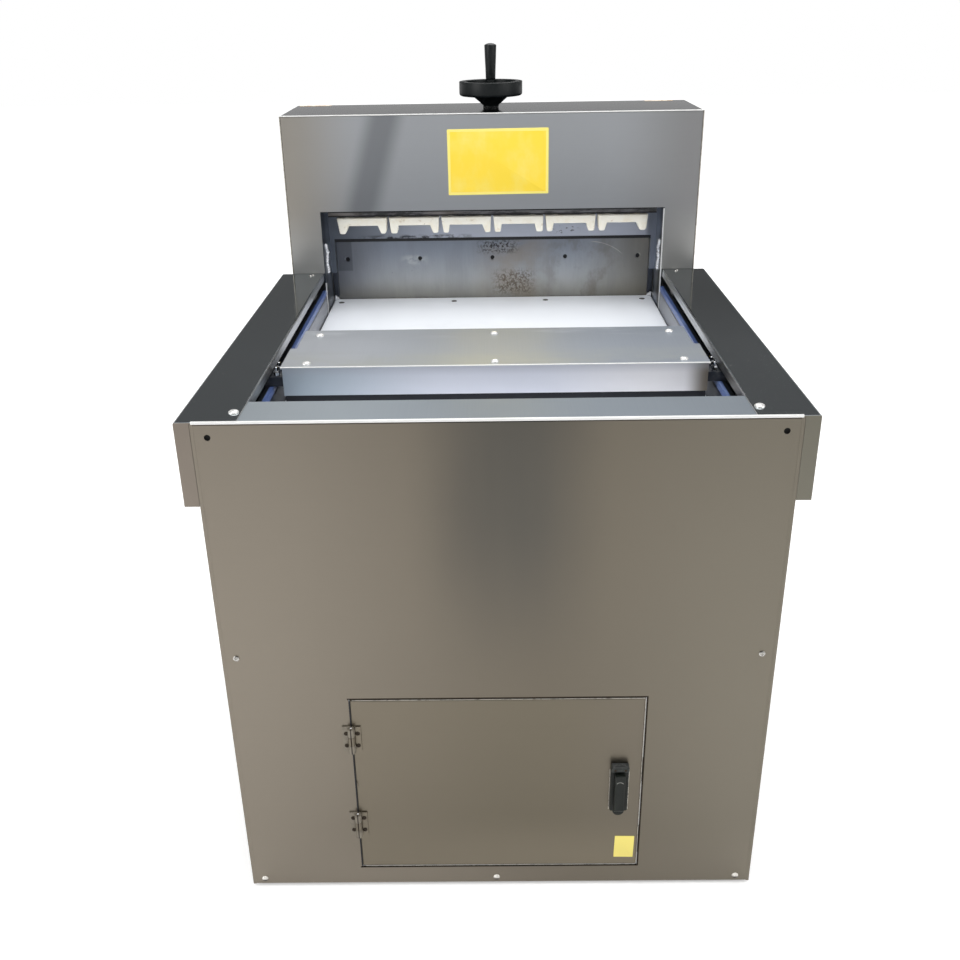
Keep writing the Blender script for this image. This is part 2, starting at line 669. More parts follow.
# Side covers: a lip along the trough, the mirror-bright top and the skirt, with two end ears
EAR_INNER = PANEL_SIDE + SHEET + CLEAR
COVER_END = PORTAL_FRONT - CLEAR
SKIRT_BOTTOM = TABLE_HEIGHT - COVER_SKIRT
for side, hand in (("left", -1), ("right", 1)):
    section = [(COVER_INNER, TABLE_HEIGHT - COVER_LIP), (COVER_INNER, TABLE_HEIGHT),
               (COVER_HALF, TABLE_HEIGHT), (COVER_HALF, SKIRT_BOTTOM)]
    section = [(hand * x, z) for x, z in section]
    cover = fold(side + "_side_cover", section, "XZ", (0, COVER_END), side=hand)
    ear = sorted((hand * EAR_INNER, hand * (COVER_HALF - SHEET / 2)))
    fuse(cover, block("front_ear", ear, (0, SHEET), (SKIRT_BOTTOM, TABLE_HEIGHT - SHEET / 2)),
         block("rear_ear", ear, (COVER_END - SHEET, COVER_END),
               (SKIRT_BOTTOM, TABLE_HEIGHT - SHEET / 2)))
    lip = sorted((hand * (COVER_INNER - SHEET), hand * (COVER_INNER + SHEET + BEND)))
    cut(cover, block("lip_notch", lip, (-SHEET, PANEL_RETURN + CLEAR),
                     (TABLE_HEIGHT - 2 * COVER_LIP, PANEL_TOP + CLEAR / 2)))
    finish(cover, "dark_steel")

# Trough: floor, side walls and the flanges that carry the slide strips
TROUGH_START = APRON_DEPTH + RUNNING
BOARD_END = BLADE_FRONT - 3 * RUNNING
FLANGE_X = TROUGH_HALF + TROUGH_FLANGE
trough_section = [(-FLANGE_X, WALL_TOP), (-TROUGH_HALF, WALL_TOP), (-TROUGH_HALF, TROUGH_FLOOR),
                  (TROUGH_HALF, TROUGH_FLOOR), (TROUGH_HALF, WALL_TOP), (FLANGE_X, WALL_TOP)]
trough = fold("trough", trough_section, "XZ", (TROUGH_START, BOARD_END), thickness=TROUGH_SHEET,
              side=1, radius=TROUGH_SHEET + RUNNING)
cut(trough, block("portal_clearance", (-FLANGE_X - SHEET, FLANGE_X + SHEET),
                  (PORTAL_FRONT - CLEAR, BOARD_END + SHEET), (TROUGH_FLOOR + CLEAR, WALL_TOP + SHEET)))
finish(trough, "zinc_steel")

# Feed board: a plain white plastic board that drops into the trough
BOARD_HALF = TROUGH_HALF - BOARD_SIDE_GAP
board = block("feed_board", (-BOARD_HALF, BOARD_HALF), (TROUGH_START + RUNNING, BOARD_END),
              (TROUGH_FLOOR + CLEAR, BOARD_TOP))
finish(bend(board, BOARD_ROUNDING), "white_board")

# Slide strips: blue bars on the trough's flanges, on which the pusher's arms run
STRIP_INNER = TROUGH_HALF + RUNNING
for side, hand in (("left", -1), ("right", 1)):
    x = sorted((hand * STRIP_INNER, hand * (STRIP_INNER + STRIP_WIDTH)))
    strip = block(side + "_slide_strip", x, (STRIP_START, PORTAL_FRONT - CLEAR),
                  (WALL_TOP + CLEAR, STRIP_TOP))
    finish(strip, "blue_plastic")

# Portal frame: four posts, two head beams and the plate that carries the press screw
POST_DEPTH = 0.060
PORTAL_POST_FRONT = PORTAL_FRONT + 0.005
HEAD_BOTTOM = PORTAL_CEILING - HEAD_BEAM_HEIGHT
HEAD_DEPTH = 0.020
HEAD_PLATE = 0.008
posts = []
POST_TOP = PORTAL_CEILING - CLEAR
for side in (-1, 1):
    x = sorted((side * FRAME_INNER, side * FRAME_HALF))
    posts.append(block("front_post", x, (PORTAL_POST_FRONT, PORTAL_POST_FRONT + POST_DEPTH),
                       (FRAME_TOP + CLEAR, POST_TOP)))
    posts.append(block("rear_post", x, (FRAME_BACK - TUBE, FRAME_BACK), (FRAME_TOP + CLEAR, POST_TOP)))
    inner = (min(x) + WELD_STEP, max(x) - WELD_STEP)
    posts.append(block("tie", inner, (PORTAL_POST_FRONT + WELD_STEP, FRAME_BACK - WELD_STEP),
                       (POST_TOP - TUBE, POST_TOP - WELD_STEP)))
head = (-FRAME_INNER - TUBE / 2, FRAME_INNER + TUBE / 2)
head_z = (HEAD_BOTTOM, POST_TOP - 2 * WELD_STEP)
posts.append(block("front_head", head, (PORTAL_POST_FRONT + 2 * WELD_STEP,
                                        PORTAL_POST_FRONT + HEAD_DEPTH), head_z))
posts.append(block("rear_head", head, (FRAME_BACK - HEAD_DEPTH, FRAME_BACK - 2 * WELD_STEP), head_z))
posts.append(block("head_plate", (-PRESS_ARM_HALF, PRESS_ARM_HALF),
                   (PORTAL_POST_FRONT + 3 * WELD_STEP, FRAME_BACK - 3 * WELD_STEP),
                   (POST_TOP - HEAD_PLATE, POST_TOP)))
portal_frame = fuse(posts[0], *posts[1:])
cut(portal_frame, rod("screw_bore", (0, WHEEL_Y, POST_TOP), PRESS_SCREW_RADIUS + CLEAR, 0.03, "Z", 20))
portal_frame.name = "portal_frame"
finish(portal_frame, "frame_paint")

# Portal shell: sides and top folded from one sheet, with the bore of the press screw
shell_section = [(-PORTAL_HALF, PANEL_TOP + CLEAR), (-PORTAL_HALF, PORTAL_TOP),
                 (PORTAL_HALF, PORTAL_TOP), (PORTAL_HALF, PANEL_TOP + CLEAR)]
shell = fold("portal_shell", shell_section, "XZ", (PORTAL_FRONT, PORTAL_REAR), side=1, radius=0.003)
cut(shell, rod("screw_bore", (0, WHEEL_Y, PORTAL_TOP), PRESS_SCREW_RADIUS + RUNNING, 0.02, "Z", 20))
finish(shell, "brushed_steel")


def arch(half, sill, crown, window_half, window_top):
    """The outline of a plate with an open window: an upside-down U."""
    return [(-half, sill), (-window_half, sill), (-window_half, window_top),
            (window_half, window_top), (window_half, sill), (half, sill), (half, crown), (-half, crown)]


# Portal front cover: the large plate round the window, with a return along the window's top
front_cover = plate("portal_front_cover",
                    [arch(COVER_PLATE_HALF, TABLE_HEIGHT + CLEAR, PORTAL_CEILING - RUNNING, WINDOW_HALF,
                          WINDOW_TOP)],
                    "XZ", (PORTAL_FRONT, PORTAL_FRONT + SHEET))
fuse(front_cover, block("window_return", (-TROUGH_HALF + 0.001, TROUGH_HALF - 0.001),
                        (PORTAL_FRONT + SHEET / 2, PORTAL_FRONT + WINDOW_RETURN),
                        (WINDOW_TOP, WINDOW_TOP + SHEET)))
finish(front_cover, "brushed_steel")

# Portal rear cover: a plate round the outfeed window, with the holes of the three buttons
BUTTON_X = COVER_PLATE_HALF - BUTTON_INSET
BUTTON_Z = WINDOW_TOP - BUTTON_PITCH
button_heights = [BUTTON_Z + BUTTON_PITCH * step for step in range(3)]
button_holes = [circle((BUTTON_X, z), BUTTON_STEM + CLEAR, 12) for z in button_heights]
rear_cover = plate("portal_rear_cover",
                   [arch(COVER_PLATE_HALF, OUTFEED_SILL + CLEAR, PORTAL_CEILING - RUNNING, OUTFEED_HALF,
                         WINDOW_TOP)] + button_holes,
                   "XZ", (PORTAL_REAR - SHEET, PORTAL_REAR))
finish(rear_cover, "brushed_steel")

# Guide plate: the fixed plate behind the feet, an upside-down U in front of the blade, with the
# jamb plates welded to its edges: they line the window from the trough floor up
GUIDE_PLATE_FRONT = JAMB_BACK + CLEAR
GUIDE_PLATE_BACK = GUIDE_PLATE_FRONT + GUIDE_PLATE_THICKNESS
GUIDE_HALF = TROUGH_HALF - CLEAR
guide_plate = plate("guide_plate",
                    [arch(TROUGH_HALF + JAMB_SHEET, BOARD_TOP + GUIDE_LEG_BOTTOM,
                          BOARD_TOP + GUIDE_PLATE_TOP, BLADE_HALF + RUNNING,
                          BOARD_TOP + GUIDE_PLATE_OPENING)],
                    "XZ", (GUIDE_PLATE_FRONT, GUIDE_PLATE_BACK))
for hand in (-1, 1):
    x = sorted((hand * TROUGH_HALF, hand * (TROUGH_HALF + JAMB_SHEET)))
    fuse(guide_plate, block("jamb", x, (JAMB_FRONT, GUIDE_PLATE_FRONT + WELD_STEP),
                            (TROUGH_FLOOR + 2 * CLEAR, WINDOW_TOP - CLEAR)))
finish(guide_plate, "zinc_steel")

# Blade guides: a bar at each side, with the groove in which the carrier's tongue slides
TONGUE_FRONT = CARRIER_FRONT + (CARRIER_THICKNESS - TONGUE_THICKNESS) / 2
TONGUE_BACK = TONGUE_FRONT + TONGUE_THICKNESS
GUIDE_FRONT = GUIDE_PLATE_BACK + CLEAR
GUIDE_BACK = GUIDE_FRONT + GUIDE_DEPTH
groove = BLADE_HALF + TONGUE_REACH + RUNNING
for side, hand in (("left", -1), ("right", 1)):
    near = BLADE_HALF + RUNNING
    section = [(near, GUIDE_FRONT), (GUIDE_HALF, GUIDE_FRONT), (GUIDE_HALF, GUIDE_BACK),
               (near, GUIDE_BACK), (near, TONGUE_BACK + RUNNING), (groove, TONGUE_BACK + RUNNING),
               (groove, TONGUE_FRONT - RUNNING), (near, TONGUE_FRONT - RUNNING)]
    guide = plate(side + "_blade_guide", [[(hand * x, y) for x, y in section]], "XY",
                  (BOARD_TOP + GUIDE_BOTTOM, BOARD_TOP + GUIDE_TOP))
    finish(guide, "blade_steel")

# Blade: a plate with five holes, ground to an edge along its bottom
carrier_joint = new_empty("blade_slide", (0, CRANK_Y, YOKE_MIDDLE), machine)
blade_section = [(BLADE_FRONT, BLADE_TOP), (BLADE_FRONT, BLADE_BOTTOM),
                 (BLADE_FRONT + 0.001, BLADE_BOTTOM), (BLADE_BACK, BLADE_BOTTOM + BLADE_EDGE),
                 (BLADE_BACK, BLADE_TOP)]
blade = plate("blade", [blade_section], "YZ", (-BLADE_HALF, BLADE_HALF), carrier_joint)
blade_holes = [(step - (BLADE_HOLE_COUNT - 1) / 2) * BLADE_HOLE_PITCH for step in range(BLADE_HOLE_COUNT)]
for x in blade_holes:
    cut(blade, rod("blade_hole", (x, BLADE_FRONT, BOARD_TOP + BLADE_HOLE_HEIGHT), BLADE_HOLE_RADIUS,
                   4 * BLADE_THICKNESS, "Y", 16, carrier_joint))
finish(blade, "blade_steel")

# Blade carrier: a bar behind the blade, its tongues in the guides and its yoke behind them
carrier_z = (CARRIER_TOP - CARRIER_HEIGHT, CARRIER_TOP)
carrier = block("blade_carrier", (-BLADE_HALF, BLADE_HALF), (CARRIER_FRONT, CARRIER_BACK), carrier_z,
                carrier_joint)
tongue_half = BLADE_HALF + TONGUE_REACH
fuse(carrier, block("tongue", (-tongue_half, tongue_half), (TONGUE_FRONT, TONGUE_BACK),
                    (carrier_z[0] + WELD_STEP, carrier_z[1] - WELD_STEP), carrier_joint),
     block("yoke", (-YOKE_HALF, YOKE_HALF),
           (GUIDE_BACK + RUNNING, CARRIER_BACK + YOKE_DEPTH),
           (YOKE_MIDDLE - YOKE_HEIGHT / 2 + WELD_STEP, YOKE_MIDDLE + YOKE_HEIGHT / 2 - WELD_STEP),
           carrier_joint),
     block("yoke_root", (-BLADE_HALF + RUNNING, BLADE_HALF - RUNNING),
           (CARRIER_FRONT + WELD_STEP, CARRIER_BACK + YOKE_DEPTH - WELD_STEP),
           (YOKE_MIDDLE - YOKE_HEIGHT / 2 + 2 * WELD_STEP, YOKE_MIDDLE + YOKE_HEIGHT / 2 - 2 * WELD_STEP),
           carrier_joint))
for hand in (-1, 1):
    lug = sorted((hand * (TROUGH_HALF + JAMB_SHEET + RUNNING), hand * YOKE_HALF))
    fuse(carrier, block("lug", lug, (CRANK_Y - ROD_EYE, CARRIER_BACK + YOKE_DEPTH - 2 * WELD_STEP),
                        (YOKE_MIDDLE - YOKE_HEIGHT / 2, YOKE_MIDDLE + YOKE_HEIGHT / 2), carrier_joint))
finish(carrier, "zinc_steel")

# Crankshaft: a shaft with a web and a pin at each end, turned as one piece
crank_joint = new_empty("crank_turn", (0, CRANK_Y, CRANK_HEIGHT), machine)
WEB_OUTER = ROD_X - ROD_THICKNESS / 2 - RUNNING
WEB_INNER = WEB_OUTER - CRANK_WEB
crankshaft = rod("crankshaft", (0, CRANK_Y, CRANK_HEIGHT), CRANK_SHAFT_RADIUS, 2 * WEB_OUTER - CRANK_WEB,
                 "X", 24, crank_joint)
for hand in (-1, 1):
    fuse(crankshaft,
         rod("web", (hand * (WEB_INNER + WEB_OUTER) / 2, CRANK_Y, CRANK_HEIGHT),
             CRANK_RADIUS + CRANK_RIM, CRANK_WEB, "X", 32, crank_joint),
         rod("crank_pin", (hand * (WEB_INNER + ROD_X + ROD_THICKNESS / 2) / 2, CRANK_Y,
                           CRANK_HEIGHT - CRANK_RADIUS), PIN_RADIUS,
             ROD_X + ROD_THICKNESS / 2 - WEB_INNER - WELD_STEP, "X", 16, crank_joint))
finish(crankshaft, "zinc_steel")

# Connecting rods: two flat bars with round ends, bored for the crank pins
rod_joint = new_empty("rod_turn", (0, CRANK_Y, CRANK_HEIGHT - CRANK_RADIUS), crank_joint)
low_eye = (CRANK_Y, CRANK_HEIGHT - CRANK_RADIUS)
high_eye = (CRANK_Y, YOKE_MIDDLE)
waist = math.degrees(math.asin(ROD_WIDTH / 2 / ROD_EYE))
rod_outline = arc(low_eye, ROD_EYE, 90 + waist, 450 - waist, 16) + arc(high_eye, ROD_EYE, waist - 90,
                                                                      270 - waist, 16)
for side, hand in (("left", -1), ("right", 1)):
    span = sorted((hand * (ROD_X - ROD_THICKNESS / 2), hand * (ROD_X + ROD_THICKNESS / 2)))
    link = plate(side + "_connecting_rod", [rod_outline, circle(low_eye, PIN_RADIUS + CLEAR, 16)],
                 "YZ", span, rod_joint)
    finish(link, "zinc_steel")

# Blade gearbox on the crankshaft, and its motor with cooling ribs
GEARBOX_HALF = 0.060
GEARBOX_REACH = 0.075
GEARBOX_BACK = 0.035
GEARBOX_RISE = 0.055
GEARBOX_FRONT = CRANK_Y - GEARBOX_REACH
gearbox = plate("blade_gearbox",
                [rectangle((GEARBOX_FRONT, CRANK_Y + GEARBOX_BACK),
                           (CRANK_RAIL_TOP + CLEAR, CRANK_HEIGHT + GEARBOX_RISE)),
                 circle((CRANK_Y, CRANK_HEIGHT), CRANK_SHAFT_RADIUS + CLEAR, 24)],
                "YZ", (-GEARBOX_HALF, GEARBOX_HALF))
finish(gearbox, "motor_paint")
MOTOR_RADIUS = 0.058
MOTOR_LENGTH = 0.190
MOTOR_RIBS = 20
MOTOR_RIB_HEIGHT = 0.006
MOTOR_RISE = 0.010
motor_outline = []
for rib in range(MOTOR_RIBS):
    start = rib * 360 / MOTOR_RIBS
    for turn, reach in ((0, 0), (0.5, 0), (0.5, MOTOR_RIB_HEIGHT), (1, MOTOR_RIB_HEIGHT)):
        angle = math.radians(start + turn * 360 / MOTOR_RIBS)
        motor_outline.append(((MOTOR_RADIUS + reach) * math.cos(angle),
                              CRANK_HEIGHT + MOTOR_RISE + (MOTOR_RADIUS + reach) * math.sin(angle)))
motor = plate("blade_motor", [motor_outline], "XZ",
              (GEARBOX_FRONT - CLEAR - MOTOR_LENGTH, GEARBOX_FRONT - CLEAR))
finish(motor, "motor_paint")

# Rail units: a front and a rear bearing block, with the round rail of the pusher's arm between
for side, hand in (("left", -1), ("right", 1)):
    x = hand * SCREW_X
    outline = rectangle((x - NUT_HALF, x + NUT_HALF), (FRAME_TOP + CLEAR, SCREW_Z + NUT_HALF))
    bore = circle((x, SCREW_Z), SCREW_RADIUS + CLEAR, 16)
    unit = plate(side + "_rail_unit", [outline, bore], "XZ",
                 (FRONT_BEARING, FRONT_BEARING + BEARING_LENGTH))
    fuse(unit, plate("rear_block", [outline, bore], "XZ", (REAR_BEARING, REAR_BEARING + BEARING_LENGTH)),
         rod("rail", (x, (FRONT_BEARING + REAR_BEARING + BEARING_LENGTH) / 2, RAIL_Z), RAIL_RADIUS,
             REAR_BEARING - FRONT_BEARING, "Y", 16))
    finish(unit, "zinc_steel")

# Feed screws: a shaft with its sprocket, turned about the shaft's axis
for side, hand in (("left", -1), ("right", 1)):
    screw_joint = new_empty(side + "_screw_turn", (hand * SCREW_X, CHAIN_PLANE, SCREW_Z), machine)
    outline = [(0, SCREW_END - CHAIN_PLANE), (SCREW_RADIUS, SCREW_END - CHAIN_PLANE),
               (SCREW_RADIUS, SPROCKET_WIDTH / 2), (SPROCKET_RADIUS, SPROCKET_WIDTH / 2),
               (SPROCKET_RADIUS, -SPROCKET_WIDTH / 2), (SCREW_RADIUS, -SPROCKET_WIDTH / 2),
               (SCREW_RADIUS, -SPROCKET_WIDTH), (0, -SPROCKET_WIDTH)]
    screw = turned(side + "_feed_screw", outline, (hand * SCREW_X, CHAIN_PLANE, SCREW_Z), "Y", 16,
                   screw_joint)
    finish(screw, "zinc_steel")

# Feed motor under the trough, with its sprocket
MOTOR_Z = FRAME_TOP + CLEAR + FEED_MOTOR_HALF
motor_start = FRONT_BEARING + RUNNING
feed_motor = block("feed_motor", (-FEED_MOTOR_HALF, FEED_MOTOR_HALF),
                   (motor_start, motor_start + FEED_MOTOR_LENGTH),
                   (MOTOR_Z - FEED_MOTOR_HALF, MOTOR_Z + FEED_MOTOR_HALF))
finish(bend(feed_motor, 0.004), "black_plastic")
motor_joint = new_empty("motor_turn", (0, CHAIN_PLANE, MOTOR_Z), machine)
MOTOR_SHAFT = 0.007
outline = [(0, motor_start - CHAIN_PLANE - CLEAR), (MOTOR_SHAFT, motor_start - CHAIN_PLANE - CLEAR),
           (MOTOR_SHAFT, SPROCKET_WIDTH / 2), (SPROCKET_RADIUS, SPROCKET_WIDTH / 2),
           (SPROCKET_RADIUS, -SPROCKET_WIDTH / 2), (MOTOR_SHAFT, -SPROCKET_WIDTH / 2),
           (MOTOR_SHAFT, -SPROCKET_WIDTH), (0, -SPROCKET_WIDTH)]
finish(turned("feed_motor_sprocket", outline, (0, CHAIN_PLANE, MOTOR_Z), "Y", 16, motor_joint),
       "zinc_steel")


def chain_loop(radius):
    """The outline of a band round the two screw sprockets and the motor's sprocket below."""
    drop = math.degrees(math.atan2(SCREW_Z - MOTOR_Z, SCREW_X))
    points = arc((SCREW_X, SCREW_Z), radius, 90, drop - 90, 10)
    points += arc((0, MOTOR_Z), radius, drop - 90, -90 - drop, 3)
    points += arc((-SCREW_X, SCREW_Z), radius, 270 - drop, 90, 10)
    return points


chain_inner = SPROCKET_RADIUS + CLEAR
chain = plate("feed_chain", [chain_loop(chain_inner + CHAIN_THICKNESS), chain_loop(chain_inner)], "XZ",
              (CHAIN_PLANE - SPROCKET_WIDTH / 2, CHAIN_PLANE + SPROCKET_WIDTH / 2))
finish(chain, "blade_steel")

# Pusher: a top plate notched at both sides, with the skirt folded down at its front
pusher_joint = new_empty("pusher_slide", (0, PUSHER_BACK, BOARD_TOP), machine)
NOTCH_Y = PUSHER_FRONT + PUSHER_NOTCH
NARROW_HALF = PUSHER_HALF - PUSHER_NOTCH_INSET
top_outline = [(-PUSHER_HALF, PUSHER_FRONT), (PUSHER_HALF, PUSHER_FRONT), (PUSHER_HALF, NOTCH_Y),
               (NARROW_HALF, NOTCH_Y), (NARROW_HALF, PUSHER_BACK), (-NARROW_HALF, PUSHER_BACK),
               (-NARROW_HALF, NOTCH_Y), (-PUSHER_HALF, NOTCH_Y)]
pusher_screw_xs = (-NARROW_HALF + PUSHER_SCREW_INSET, 0, NARROW_HALF - PUSHER_SCREW_INSET)
pusher_screw_ys = (PUSHER_FRONT + PUSHER_SCREW_FRONT, PUSHER_BACK - PUSHER_SCREW_BACK)
SCREW_HOLE = 0.0042
top_holes = [circle((x, y), SCREW_HOLE, 10) for x in pusher_screw_xs for y in pusher_screw_ys]
pusher = plate("pusher_top", [top_outline] + top_holes, "XY", (PUSHER_TOP - PUSHER_SHEET, PUSHER_TOP),
               pusher_joint)
skirt_half = PUSHER_HALF - PUSHER_SKIRT_INSET
fuse(pusher, block("skirt", (-skirt_half, skirt_half), (PUSHER_FRONT + CLEAR, PUSHER_FRONT + PUSHER_SHEET),
                   (PUSHER_TOP - PUSHER_SKIRT, PUSHER_TOP - PUSHER_SHEET / 2), pusher_joint))
finish(pusher, "zinc_steel")

# Pusher body: the heavy plate that meets the rolls and two ribs that carry the arms
UNDER_TOP = PUSHER_TOP - PUSHER_SHEET - CLEAR
FACE_BOTTOM = BOARD_TOP + PUSHER_FACE_GAP
body = block("pusher_body", (-NARROW_HALF, NARROW_HALF),
             (PUSHER_BACK - PUSHER_FACE_THICKNESS, PUSHER_BACK), (FACE_BOTTOM, UNDER_TOP), pusher_joint)
RIB_BOTTOM = PUSHER_TOP - PUSHER_SKIRT + RUNNING
fuse(body, block("rib_front", (-skirt_half, skirt_half), (ARM_FRONT, ARM_BACK),
                 (RIB_BOTTOM, UNDER_TOP), pusher_joint))
for x in (-NARROW_HALF + TUBE / 2, 0, NARROW_HALF - TUBE / 2):
    fuse(body, block("rib", (x - TUBE / 2, x + TUBE / 2), (ARM_BACK - WELD_STEP, PUSHER_BACK - WELD_STEP),
                     (RIB_BOTTOM + WELD_STEP, UNDER_TOP - WELD_STEP), pusher_joint))
finish(body, "zinc_steel")

# Pusher arms: each reaches over its slide strip to the nut on the feed screw and rail
for side, hand in (("left", -1), ("right", 1)):
    far = SCREW_X + NUT_HALF
    near = SCREW_X - NUT_HALF
    nut_bottom = ARM_TOP - NUT_HEIGHT
    outline = [(skirt_half + CLEAR, ARM_BOTTOM), (near, ARM_BOTTOM), (near, nut_bottom),
               (far, nut_bottom), (far, ARM_TOP), (skirt_half + CLEAR, ARM_TOP)]
    holes = [circle((SCREW_X, SCREW_Z), SCREW_RADIUS + CLEAR, 16),
             circle((SCREW_X, RAIL_Z), RAIL_RADIUS + CLEAR, 16)]
    outlines = [[(hand * x, z) for x, z in points] for points in [outline] + holes]
    arm = plate(side + "_pusher_arm", outlines, "XZ", (ARM_FRONT, ARM_BACK), pusher_joint)
    finish(arm, "zinc_steel")

# Press beam: a bar bored for the feet's posts, with the arm and nut for the press screw
beam_joint = new_empty("press_slide", (0, WHEEL_Y, PRESS_ARM_BOTTOM), machine)
foot_xs = [(step - (ROLL_COUNT - 1) / 2) * ROLL_PITCH for step in range(ROLL_COUNT)]
BEAM_HALF = TROUGH_HALF - RUNNING
beam_y = (FOOT_Y - FOOT_DEPTH / 2, FOOT_Y + FOOT_DEPTH / 2)
post_holes = [circle((x + hand * FOOT_POST_SPREAD, FOOT_Y), FOOT_POST_RADIUS + CLEAR, 12)
              for x in foot_xs for hand in (-1, 1)]
beam = plate("press_beam", [rectangle((-BEAM_HALF, BEAM_HALF), beam_y)] + post_holes, "XY",
             (BEAM_BOTTOM, BEAM_TOP), beam_joint)
arm_x = (-PRESS_ARM_HALF, PRESS_ARM_HALF)
fuse(beam, block("upstand", arm_x, (beam_y[0] + WELD_STEP, beam_y[1] - WELD_STEP),
                 (BEAM_TOP - WELD_STEP, PRESS_ARM_TOP - WELD_STEP), beam_joint),
     block("arm", arm_x, (beam_y[0] + 2 * WELD_STEP, WHEEL_Y + PRESS_NUT_RADIUS + 4 * WELD_STEP),
           (PRESS_ARM_BOTTOM, PRESS_ARM_TOP), beam_joint),
     rod("nut", (0, WHEEL_Y, PRESS_ARM_TOP + PRESS_NUT_HEIGHT / 2 - WELD_STEP), PRESS_NUT_RADIUS,
         PRESS_NUT_HEIGHT, "Z", 20, beam_joint))
cut(beam, rod("nut_bore", (0, WHEEL_Y, PRESS_ARM_TOP), PRESS_SCREW_RADIUS + CLEAR, 0.06, "Z", 20,
              beam_joint))
finish(beam, "zinc_steel")


def foot_outline(x, left_slant, right_slant):
    """An upside-down U with tapered legs and round tips; a slant widens a leg at its root."""
    half = FOOT_WIDTH / 2
    tip = FOOT_LEG_TIP / 2
    underside = FOOT_CROWN - FOOT_BAR
    tip_z = underside - FOOT_LEG + tip
    taper = 0.0015
    points = [(-half, FOOT_CROWN)]
    points += arc((-half + taper + tip, tip_z), tip, 180, 360, 5)
    points += [(-half + FOOT_LEG_TOP + left_slant, underside), (half - FOOT_LEG_TOP - right_slant, underside)]
    points += arc((half - taper - tip, tip_z), tip, 180, 360, 5)
    points += [(half, FOOT_CROWN)]
    return [(x + u, v) for u, v in points]


# Press feet: six ivory blocks that float in the beam on two posts each
OUTER_SLANT = 0.008
for index, x in enumerate(foot_xs):
    foot_joint = new_empty("foot_slide_%d" % (index + 1), (x, FOOT_Y, FOOT_CROWN), beam_joint)
    slants = (OUTER_SLANT if index == 0 else 0, OUTER_SLANT / 2 if index == 1 else 0)
    foot = plate("press_foot_%d" % (index + 1), [foot_outline(x, *slants)], "XZ", beam_y, foot_joint)
    bend(foot, 0.0008, 1, 60)
    for hand in (-1, 1):
        fuse(foot, rod("foot_post", (x + hand * FOOT_POST_SPREAD, FOOT_Y,
                                     FOOT_CROWN + FOOT_POST_LENGTH / 2 - 0.002), FOOT_POST_RADIUS,
                       FOOT_POST_LENGTH + 0.004, "Z", 12, foot_joint))
    finish(foot, "ivory_plastic")

# Press screw, handwheel and its revolving grip on top of the portal
wheel_joint = new_empty("handwheel_turn", (0, WHEEL_Y, PORTAL_TOP), machine)
HUB_BASE = PORTAL_TOP + RUNNING
finish(rod("press_screw", (0, WHEEL_Y, HUB_BASE - CLEAR - PRESS_SCREW_LENGTH / 2), PRESS_SCREW_RADIUS,
           PRESS_SCREW_LENGTH, "Z", 20, wheel_joint), "zinc_steel")
rim_bottom = WHEEL_RIM_TOP - WHEEL_RIM_HEIGHT
rim_inner = WHEEL_RADIUS - WHEEL_RIM_WIDTH
wheel_outline = [(0, HUB_HEIGHT), (HUB_RADIUS - WHEEL_EDGE, HUB_HEIGHT), (HUB_RADIUS, HUB_HEIGHT - WHEEL_EDGE),
                 (HUB_RADIUS, HUB_FOOT + 2 * DISH_THICKNESS), (DISH_RADIUS, rim_bottom + DISH_THICKNESS),
                 (rim_inner, rim_bottom + 2 * DISH_THICKNESS), (rim_inner, WHEEL_RIM_TOP - WHEEL_EDGE),
                 (rim_inner + WHEEL_EDGE, WHEEL_RIM_TOP), (WHEEL_RADIUS - WHEEL_EDGE, WHEEL_RIM_TOP),
                 (WHEEL_RADIUS, WHEEL_RIM_TOP - WHEEL_EDGE)]
wheel_outline += arc((WHEEL_RADIUS - WHEEL_RIM_ROUND, rim_bottom + WHEEL_RIM_ROUND), WHEEL_RIM_ROUND, 0, -90, 5)
wheel_outline += [(DISH_RADIUS, rim_bottom), (HUB_RADIUS, HUB_FOOT), (HUB_RADIUS, 0), (0, 0)]
wheel = turned("handwheel", wheel_outline, (0, WHEEL_Y, HUB_BASE), steps=32, carrier=wheel_joint)
GRIP_Y = WHEEL_Y + WHEEL_RADIUS - GRIP_RADIUS - RUNNING
boss_height = WHEEL_RIM_HEIGHT - DISH_THICKNESS
fuse(wheel, rod("grip_boss", (0, GRIP_Y, HUB_BASE + WHEEL_RIM_TOP - WELD_STEP - boss_height / 2),
                GRIP_FOOT_RADIUS, boss_height, "Z", 20, wheel_joint))
finish(wheel, "black_plastic")
GRIP_BASE = HUB_BASE + WHEEL_RIM_TOP + CLEAR
grip_joint = new_empty("grip_turn", (0, GRIP_Y, GRIP_BASE), wheel_joint)
grip_outline = [(0, GRIP_LENGTH), (GRIP_RADIUS - 2 * WHEEL_EDGE, GRIP_LENGTH - GRIP_CAP),
                (GRIP_RADIUS, GRIP_LENGTH - GRIP_CAP - WHEEL_EDGE), (GRIP_FOOT_RADIUS, WHEEL_EDGE),
                (GRIP_FOOT_RADIUS - WHEEL_EDGE, 0), (0, 0)]
finish(turned("handwheel_grip", grip_outline, (0, GRIP_Y, GRIP_BASE), steps=20, carrier=grip_joint),
       "black_plastic")

# Door: a tray of folded sheet on the hinge axis, bored for the lock's spindle
door_joint = new_empty("door_hinge", (HINGE_X, HINGE_Y, DOOR_BOTTOM), machine)
door = block("door", (DOOR_LEFT, DOOR_RIGHT), (0, DOOR_RETURN), (DOOR_BOTTOM, DOOR_TOP), door_joint,
             open_sides=("+Y",))
thicken(bend(door), SHEET)
cut(door, rod("spindle_hole", (LOCK_X, 0, SPINDLE_Z), SPINDLE_RADIUS + RUNNING, 0.01, "Y", 16, door_joint))
finish(door, "brushed_steel")

# Hinges: knuckles by thirds of the height, the outer ones on the panel, the middle one welded on the door
THIRD = HINGE_HEIGHT / 3


